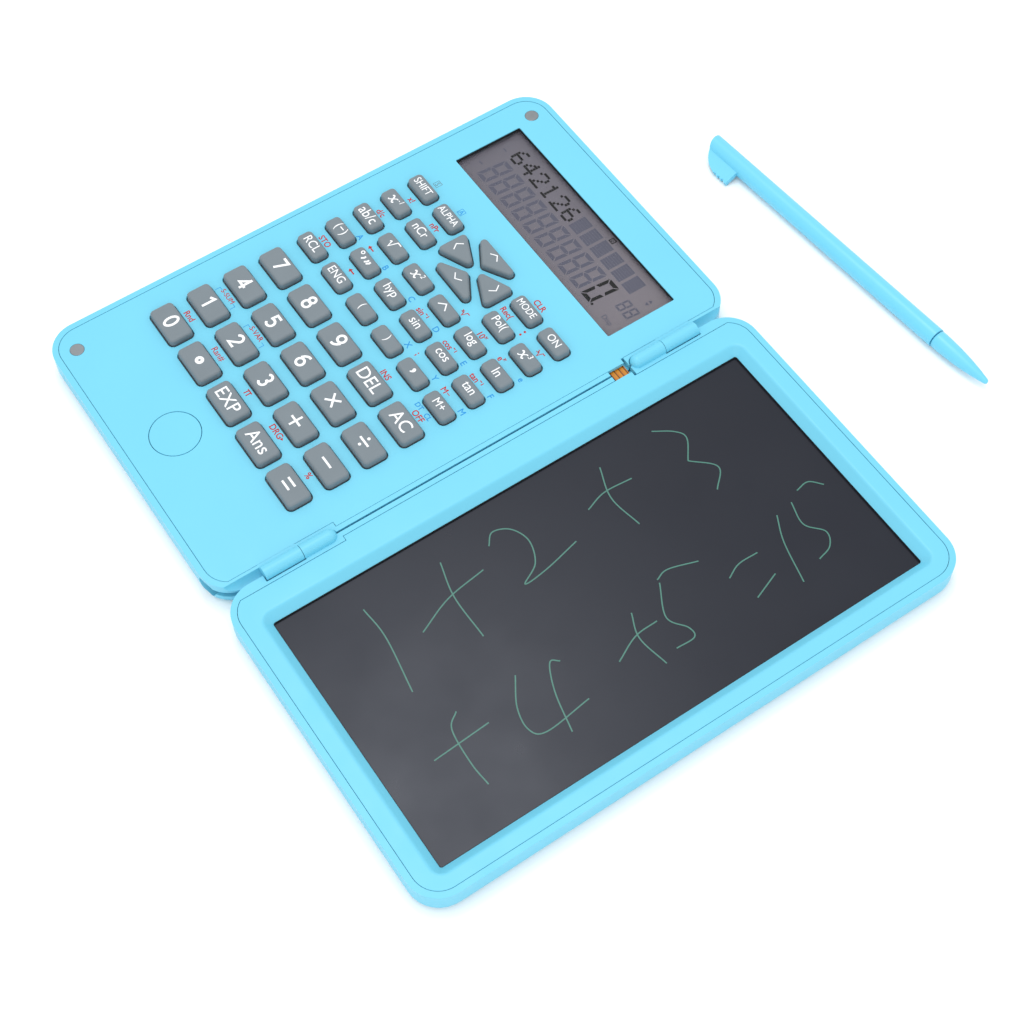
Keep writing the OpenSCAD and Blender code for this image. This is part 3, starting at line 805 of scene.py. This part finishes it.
def legend_large():
    words = {"key_exp": "EXP", "key_ans": "Ans", "key_del": "DEL", "key_ac": "AC"}
    bars = {"key_equals": [((-1.75, 0.95), (1.75, 0.95)), ((-1.75, -0.95), (1.75, -0.95))],
            "key_plus": [((-2.1, 0), (2.1, 0)), ((0, -2.1), (0, 2.1))],
            "key_minus": [((-2.1, 0), (2.1, 0))],
            "key_times": [((-1.65, -1.65), (1.65, 1.65)), ((-1.65, 1.65), (1.65, -1.65))],
            "key_divide": [((-2.0, 0), (2.0, 0))]}
    for name, c in large_keys.items():
        ink = Ink(*KEY_INK)
        at = (c.x + KEY_SHIFT, c.y)
        if name[-1].isdigit():
            for stroke in digit_strokes(name[-1]):
                loop = len(stroke) == LOOP or name[-1] == "8"
                ink.line(at, [(1.08 * u, 1.1 * v) for u, v in stroke], 0.74, closed=loop)
                ink.z += LEGEND_STEP
        elif name in words:
            ink.text(at, words[name], 3.7 / CAP, 0.01)
        elif name == "key_point":
            ink.line(at, circle(0, 0, 0.82, 30), 0.92, closed=True)
        for bar in bars.get(name, []):
            ink.line(at, bar, 0.62)
            ink.z += LEGEND_STEP
        if name == "key_divide":
            for v in (-1.45, 1.45):
                ink.area(at, circle(0, v, 0.45, 20))
        ink.save("legend_" + name, name, white_ink, "key_rubber")


def legend_small():
    plain = {"RCL": 2.6, "ENG": 2.5, "(": 2.3, ")": 2.3, "M+": 2.4, "hyp": 2.7, "sin": 2.75, "cos": 2.7,
             "tan": 2.7, "ab/c": 3.1, "log": 2.65, "ln": 2.8, "nCr": 2.7, "Pol(": 2.5, "SHIFT": 2.3,
             "ALPHA": 2.15, "MODE": 2.1, "ON": 2.25, "(−)": 2.6}
    marks = {"keys_recall_eng": ("RCL", "ENG"), "keys_brackets": ("(", ")"), "keys_comma_memory": (",", "M+"),
             "keys_negative_degrees": ("(−)", "degrees"), "keys_hyp_sin": ("hyp", "sin"),
             "keys_cos_tan": ("cos", "tan"), "keys_fraction_root": ("ab/c", "root"),
             "keys_square_power": ("square", "hat"), "keys_log_ln": ("log", "ln"),
             "keys_inverse_choose": ("inverse", "nCr"), "keys_polar_cube": ("Pol(", "cube"),
             "keys_shift_alpha": ("SHIFT", "ALPHA"), "keys_mode_on": ("MODE", "ON")}
    indices = {"square": "2", "cube": "3", "inverse": "-1"}
    for name, pair in small_keys.items():
        ink = Ink(*KEY_INK)
        for (x, y), mark in zip(pair, marks[name]):
            at = (x + KEY_SHIFT, y)
            if mark in plain:
                squeeze = 0.88 if mark in ("SHIFT", "ALPHA", "MODE") else 0.94
                ink.text(at, mark, plain[mark] / CAP, squeeze=squeeze)
            elif mark == ",":
                ink.text(at, ",", 6.2, 0.14)
            elif mark == "degrees":
                ink.line((at[0] + 0.9, at[1] + 2.5), circle(0, 0, 0.5, 16), 0.3, closed=True)
                for u in (-0.85, 0.75, 1.65):
                    ink.line(at, [(u + 0.1, 0.75), (u + 0.22, 0.2), (u - 0.3, -0.7)], 0.55)
            elif mark == "root":
                root(ink, at, 3.6, 0.35)
            elif mark == "hat":
                chevron(ink, (at[0] + 0.2, at[1] + 0.45), (0, 1), 1.75, 1.7, 0.34)
            else:
                power(ink, at, indices[mark])
        ink.save("legend_" + name, name, white_ink, "key_rubber")


def legend_arrows():
    turn = {"key_left": (-1, 0), "key_right": (1, 0), "key_up": (0, 1), "key_down": (0, -1)}
    for name, (dx, dy) in ARROWS.items():
        core = arrow_core((dx, dy))
        cx = sum(p[0] for p in core) / 3
        cy = sum(p[1] for p in core) / 3
        ink = Ink(*KEY_INK)
        chevron(ink, (cx + 0.4 + 0.4 * dx, cy + 0.9 * dy), turn[name], 1.25, 1.7, 0.3)
        ink.save("legend_" + name, name, white_ink, "key_rubber")


def face_print():
    """Second functions, printed on the face beside their keys."""
    red, blue_marks, grey = Ink(PRINT_LEVEL), Ink(PRINT_LEVEL), Ink(PRINT_LEVEL)
    size = 1.82 / CAP
    red_words = [
        ("Rnd", -44.3, 33), ("Ran#", -44.1, 17.2), ("DRG▸", -43.7, -14.2),
        ("%", -43.7, -30.5), ("INS", -9.9, -14.6), ("OFF", -9.9, -30.9), ("STO", 0.3, 34.4),
        (";", 0.7, -13.5), ("M−", 0.6, -28.5), ("sin⁻¹", 9.5, -2.6),
        ("cos⁻¹", 9.5, -16.4), ("tan⁻¹", 9.5, -29.7), ("d/c", 18.9, 34.2),
        ("10ˣ", 18.8, -18.7), ("eˣ", 18.9, -28.1), ("x!", 28.7, 33.4), ("nPr", 28.7, 20.9),
        ("Rec(", 28.5, -15.8), ("CLR", 37.7, -19),
    ]
    for word, x, y in red_words:
        red.text((x, y), word, size, 0.02 if "#" in word else 0.05, squeeze=0.95)
    for stroke in ([(-1.0, 0.8), (1.1, 0.8)], [(-0.45, 0.8), (-0.55, -0.85)], [(0.5, 0.8), (0.5, -0.85)]):
        red.line((-43.9, 1.5), stroke, 0.34)
        red.z += PRINT_STEP
    for v in (-0.75, 0.75):
        red.area((28.5, -24), circle(0, v, 0.36, 12))
    for word, x, y in (("S-SUM", -32.1, 33), ("S-VAR", -32, 17.2)):
        red.text((x, y), word, size * 0.82, 0.02)
    for x, y in ((0.9, 20.9), (9.7, 24.7)):
        red.line((x, y), [(1.2, 0), (-0.4, 0)], 0.42)
        red.area((x, y), [(-1.3, 0), (-0.35, -0.72), (-0.35, 0.72)])
    for index, x, y in (("ˣ", 18.9, -9.3), ("³", 28.3, -32.4)):
        red.text((x, y), index, size, 0.02, shift=(-1.0, 0.35))
        root(red, (x, y), 2.2, 0.26, shift=(0.3, 0))
    red.save("print_red", "calculator_half", red_ink, "shell")
    blue_words = [("A", 9.4, 30.1), ("B", 9.5, 16.6), ("C", 9.6, 3.2), ("D", 9.6, -9.5), ("E", 9.6, -23.3),
                  ("F", 9.6, -36.6), ("X", 0.5, -9.5), ("Y", 0.5, -23), ("M", 0.5, -36.4), ("e", 19.2, -36.6),
                  ("DT", -7.9, -28.4), ("CL", -7.9, -32.6)]
    for word, x, y in blue_words:
        blue_marks.text((x, y), word, size * (0.8 if len(word) > 1 else 1.0), 0.03)
    for y_high, y_low in ((37.0, 28.7), (21.3, 12.7)):
        for y, inward in ((y_high, 1), (y_low, -1)):
            blue_marks.line((-33.9, y), [(inward * 1.2, 1.6), (0, 1.6), (0, 0)], 0.16)
    blue_marks.text((38, 21.3), "A", size * 0.8, 0.02)
    blue_marks.line((38, 21.3), [(-0.9, -1.0), (0.9, -1.0), (0.9, 1.0), (-0.9, 1.0)], 0.16, closed=True)
    blue_marks.save("print_blue", "calculator_half", blue_ink, "shell")
    grey.text((38.1, 34), "S", size * 0.8, 0.02)
    grey.line((38.1, 34), [(-0.9, -1.0), (0.9, -1.0), (0.9, 1.0), (-0.9, 1.0)], 0.16, closed=True)
    grey.save("print_grey", "calculator_half", grey_ink, "shell")


legend_large()
legend_small()
legend_arrows()
face_print()


# ---------------------------------------------------------------- display

DOTS = {
    "1": ("00100", "01100", "00100", "00100", "00100", "00100", "01110"),
    "2": ("01110", "10001", "00001", "00010", "00100", "01000", "11111"),
    "4": ("00010", "00110", "01010", "10010", "11111", "00010", "00010"),
    "6": ("00110", "01000", "10000", "11110", "10001", "10001", "01110"),
}
BARS = {
    "a": [(0.06, 1.0), (0.94, 1.0), (0.72, 0.87), (0.28, 0.87)],
    "b": [(1.0, 0.98), (1.0, 0.52), (0.76, 0.575), (0.76, 0.85)],
    "c": [(1.0, 0.48), (1.0, 0.02), (0.76, 0.15), (0.76, 0.425)],
    "d": [(0.06, 0.0), (0.28, 0.13), (0.72, 0.13), (0.94, 0.0)],
    "e": [(0.0, 0.48), (0.24, 0.425), (0.24, 0.15), (0.0, 0.02)],
    "f": [(0.0, 0.98), (0.24, 0.85), (0.24, 0.575), (0.0, 0.52)],
    "g": [(0.08, 0.5), (0.26, 0.56), (0.74, 0.56), (0.92, 0.5), (0.74, 0.44), (0.26, 0.44)],
}


def seven(ink, at, wide, high, bars, lean=0.09):
    """Seven-segment digit whose lower left corner is at `at`."""
    for bar in bars:
        ink.area(at, [(u * wide + v * high * lean, v * high) for u, v in BARS[bar]])


DOT_FILL = (1.0, 0.9)  # a dot's width and height, as shares of their pitches
DOT_PITCH = (0.84, 0.82)
DOT_ROW = 67.2  # x of the upper row of characters, then y of its first one and the step between them
DOT_START, DOT_STEP, DOT_COUNT = 32.4, 5.16, 12
DIGIT = (4.5, 9.7)
DIGIT_ROW = 50.5  # the same for the lower row of digits
DIGIT_START, DIGIT_STEP, DIGIT_COUNT = 32.7, 5.87, 10
EXPONENT = (2.5, 4.6)


def dot_block(ink, at, rows):
    """A 5 by 7 dot character whose upper left corner is at `at`."""
    pitch_u, pitch_v = DOT_PITCH
    for r, row in enumerate(rows):
        for c, on in enumerate(row):
            if on == "1":
                u, v = (c + 0.5) * pitch_u, -(r + 0.5) * pitch_v
                hu, hv = pitch_u * DOT_FILL[0] / 2, pitch_v * DOT_FILL[1] / 2
                ink.area(at, [(u - hu, v - hv), (u + hu, v - hv), (u + hu, v + hv), (u - hu, v + hv)])


def display():
    """Lit marks and, a little lower and paler, the ones at rest."""
    level = span("display_panel")[1].z
    lit, resting = Ink(level, 0.02), Ink(level - 0.008, 0.02)
    shown = "642126"
    for i in range(DOT_COUNT):
        at = (DOT_ROW, DOT_START - DOT_STEP * i)
        if i < len(shown):
            dot_block(lit, at, DOTS[shown[i]])
        else:
            dot_block(resting, at, ["11111"] * 7)
    for i in range(DIGIT_COUNT - 1):
        seven(resting, (DIGIT_ROW, DIGIT_START - DIGIT_STEP * i), *DIGIT, "abcdefg")
    seven(lit, (DIGIT_ROW, DIGIT_START - DIGIT_STEP * (DIGIT_COUNT - 1)), *DIGIT, "abcdef")
    lit.area((50.9, -25.3), circle(0, 0, 0.42, 16))
    for i in range(2):
        seven(resting, (55.6, -29.4 - 3.3 * i), *EXPONENT, "abcdefg")
    resting.text((50.9, -32.3), "Disp", 2.2, 0.02)
    for x in (53.8, 62.3):
        resting.line((x, 35.3), [(-0.8, 0), (0.8, 0)], 0.4)
    for v, sense in ((0.75, 1), (-0.75, -1)):
        triangle = [(-0.7, v - 0.45 * sense), (0.7, v - 0.45 * sense), (0, v + 0.55 * sense)]
        resting.area((64.1, -34), triangle[::sense])
    lit.line((68.6, -10.4), [(-0.8, -0.75), (0.8, -0.75), (0.8, 0.75), (-0.8, 0.75)], 0.3, closed=True)
    lit.text((68.6, -10.4), "D", 1.3, 0.03)
    lit.save("display_lit", "calculator_half", lit_segment, "display_cell")
    resting.save("display_resting", "calculator_half", rest_segment, "display_cell")


display()


# ---------------------------------------------------------------- handwriting


# The pen strokes of a simple sum, as points on the writing panel, to the half millimetre:
# 1+2+3 and, below it, +4+5=15
STROKES = [
    [(-52, -71), (-51.5, -81), (-54, -97.5)],
    [(-43, -85), (-32.5, -80.5), (-20.5, -78.5)],
    [(-28.5, -70.5), (-31, -81), (-31, -94.5)],
    [(-15.5, -73.5), (-12.5, -70.5), (-8, -72.5), (-6, -78), (-8.5, -84.5),
     (-14, -88), (-7, -87.5), (4, -85)],
    [(12, -79), (18.5, -77), (27, -77.5)],
    [(22, -70), (19, -79.5), (20.5, -90)],
    [(40, -68.5), (45, -72), (46.5, -75.5), (42.5, -81.5)],
    [(42.5, -81.5), (48, -87.5), (43.5, -93)],
    [(-59.5, -116), (-43, -115)],
    [(-48, -108), (-51.5, -111.5), (-52.5, -121.5), (-52, -128.5)],
    [(-30.5, -108), (-35, -115.5), (-36, -122), (-32.5, -125), (-19, -123.5)],
    [(-19, -111), (-21.5, -110), (-25, -117.5), (-27.5, -128.5)],
    [(-7, -119.5), (0.5, -116), (7.5, -115.5)],
    [(3.5, -110), (1, -117), (2.5, -126.5)],
    [(14.5, -106), (18.5, -105), (26.5, -107.5)],
    [(14.5, -107), (10, -116), (13, -121.5), (12.5, -124.5), (7, -124.5)],
    [(30, -116), (34.5, -114), (40.5, -114)],
    [(32.5, -124.5), (40.5, -121.5)],
    [(51.5, -108), (48, -115.5), (45, -127.5)],
    [(60.5, -105), (64.5, -104.5), (67.5, -107.5)],
    [(57, -107), (55.5, -114), (59, -119), (57, -123), (52.5, -124.5)],
]


def handwriting():
    """Pen strokes that show in the panel, each a hair above the last where they cross."""
    level = span("writing_panel")[1].z
    ink = Ink(level, 0.015)
    for stroke in STROKES:
        ink.line((0, 0), [(-p.y, p.x) for p in curve_points(stroke)], 0.36)
        ink.z += PRINT_STEP
    ink.save("written_sum", "tablet_half", written_line, "writing_film")


handwriting()


# ---------------------------------------------------------------- ribbon between the halves


RIBBON_STEPS = 48  # short lengths along the ribbon


def ribbon():
    """The flat cable between the two housings."""
    low, high = span("flex_ribbon")
    solid = Solid()
    section = [(low.x, low.z), (high.x, low.z), (high.x, high.z), (low.x, high.z)]
    rings = []
    for i in range(RIBBON_STEPS + 1):
        y = low.y + (high.y - low.y) * i / RIBBON_STEPS
        rings.append([solid.bm.verts.new((x, y, z)) for x, z in section])
    solid.skin(rings)
    solid.bm.faces.new(rings[0][::-1])
    solid.bm.faces.new(rings[-1])
    piece = solid.save("ribbon_cable", None, amber, "ribbon_film", ["flex_ribbon"], weighted=False)
    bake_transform(piece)


ribbon()


# ---------------------------------------------------------------- CAD nodes that stay

EDGE_WIDTHS = {
    "calculator_case": 0.3, "tablet_back": 0.3, "battery_tray": 0.15, "erase_button": 0.15, "coin_cell": 0.15,
    "display_panel": 0.1, "display_window": 0.08, "writing_panel": 0.1, "main_board": 0.05,
    "controller_chips": 0.2, "keypad_mat": 0.12, "battery_contacts": 0.06, "face_magnets": 0.12,
    "tablet_magnets": 0.12, "erase_switch": 0.06, "hinge_pins": 0.1, "calculator_screws": 0.12,
    "tablet_screws": 0.12, "stylus_barrel": 0.3, "stylus_tip": 0.1,
}
for name, width in EDGE_WIDTHS.items():
    soften(name, width)


# ---------------------------------------------------------------- room, light and camera


def stage():
    """A plain pale floor just under the object, in metres like the rest of this section."""
    mesh = bpy.data.meshes.new("floor")
    mesh.from_pydata([(-3, -3, 0), (3, -3, 0), (3, 3, 0), (-3, 3, 0)], [], [(0, 1, 2, 3)])
    floor = bpy.data.objects.new("floor", mesh)
    floor.location.z = cad_box[0][2] - 0.0001
    scene.collection.objects.link(floor)
    paper = Shader("floor_paper", (250, 250, 250), 0.9)
    paper.tint(paper.noise(300), 0.004)
    paper.rough(paper.noise(50), 0.85, 0.95)
    paper.bump(paper.noise(2), 0.02, 0.2)
    mesh.materials.append(paper.mat)


def softbox(name, location, target, size, power):
    light = bpy.data.lights.new(name, "AREA")
    light.shape = "RECTANGLE"
    light.size, light.size_y = size
    light.energy = power
    lamp = bpy.data.objects.new(name, light)
    lamp.location = location
    lamp.rotation_euler = (Vector(target) - Vector(location)).to_track_quat("-Z", "Y").to_euler()
    scene.collection.objects.link(lamp)


def camera():
    """The photo's viewpoint: where the eye is, and which way its right, top and back face."""
    lens = bpy.data.cameras.new("camera")
    lens.lens = 66.92
    lens.sensor_width = 36
    lens.clip_start = 0.01
    eye = bpy.data.objects.new("camera", lens)
    right = Vector((0.8301, -0.5574, -0.0132))
    up = Vector((0.4837, 0.7081, 0.5145))
    back = Vector((-0.2774, -0.4335, 0.8574))
    turn = Matrix((right, up, back)).transposed().to_4x4()
    eye.matrix_world = Matrix.Translation((-0.1426, -0.2836, 0.4308)) @ turn
    scene.collection.objects.link(eye)
    scene.camera = eye


stage()
softbox("key_light", (-0.05, 0.06, 1.2), (0, -0.05, 0), (0.5, 0.5), 2.4)
softbox("back_glow", (0.16, 0.33, 1.2), (0, -0.1, 0), (0.3, 0.3), 1.6)
softbox("front_fill", (-0.5, -0.9, 0.45), (0, -0.05, 0), (0.8, 0.5), 1.3)
world = bpy.data.worlds.new("studio")
world.use_nodes = True
world.node_tree.nodes["Background"].inputs["Color"].default_value = (1, 1, 1, 1)
world.node_tree.nodes["Background"].inputs["Strength"].default_value = 1.1
scene.world = world
scene.view_settings.view_transform = "Standard"
camera()
